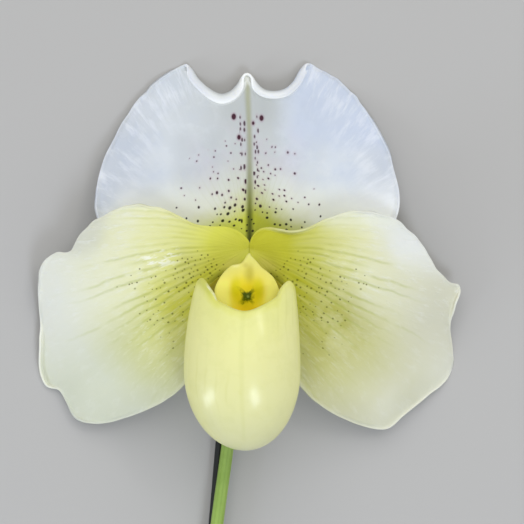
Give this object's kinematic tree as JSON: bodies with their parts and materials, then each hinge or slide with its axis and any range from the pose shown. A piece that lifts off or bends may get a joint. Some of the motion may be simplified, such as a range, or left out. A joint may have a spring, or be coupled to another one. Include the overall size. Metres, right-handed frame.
{
  "type": "slipper orchid bloom",
  "caption": "White and yellow-green slipper orchid bloom on its cut scape, lying face up with the thin stake that is tied to the scape",
  "frame": {"origin": "centre of the footprint, on the surface that the bloom lies on", "axes": "+Z out of the bloom's face, +Y towards the top of the upper sepal, -Y towards the cut end of the scape, +X to the right as seen from above"},
  "size_m": [0.1126, 0.1976, 0.0414],
  "materials": {
    "sepal": "satin petal tissue, white with a bluish cast, grey-green midrib and dark wine spots",
    "petal": "satin petal tissue, yellow-green at the heart fading to cream white, with green veins",
    "lip": "waxy, pale yellow",
    "shield": "waxy, yellow with a dark green centre",
    "stem": "satin living stem, bright green with fine hairs",
    "bract": "matte leaf, pale green with darker veins",
    "stake": "satin, very dark green",
    "tie": "matte, dark green"
  },
  "bodies": {
    "root": {"dorsal_sepal": "sepal", "ventral_sepal": "sepal", "petal_left": "petal", "petal_right": "petal", "labellum": "lip", "column": "shield", "ovary": "stem", "bract": "bract", "scape": "stem", "stake": "stake", "tie": "tie"}
  },
  "joints": []
}
